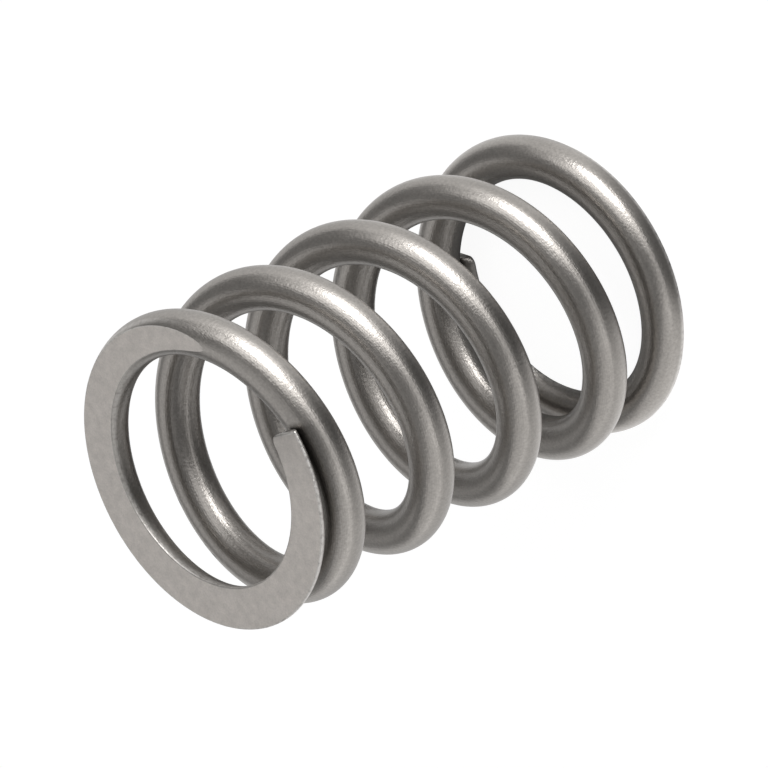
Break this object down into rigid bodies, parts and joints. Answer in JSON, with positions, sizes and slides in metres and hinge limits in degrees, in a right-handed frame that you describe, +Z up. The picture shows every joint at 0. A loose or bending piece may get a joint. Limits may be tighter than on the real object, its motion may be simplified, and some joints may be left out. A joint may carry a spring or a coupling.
{
  "type": "engine valve spring",
  "caption": "Cylindrical compression spring of round shot-peened steel wire, coiled right-handed, with both ends closed and ground flat, for closing an engine valve.",
  "frame": {"origin": "centre of the lower ground face, on the axis of the coil", "axes": "+Z up along the axis of the coil, from the lower ground face to the upper one; the tip of the wire at the lower end lies at +X"},
  "size_m": [0.0294, 0.0294, 0.047],
  "materials": {
    "peened_steel": "satin, bare and shot-peened, with finely ground end faces"
  },
  "bodies": {
    "root": {"valve_spring": "peened_steel"}
  },
  "joints": []
}
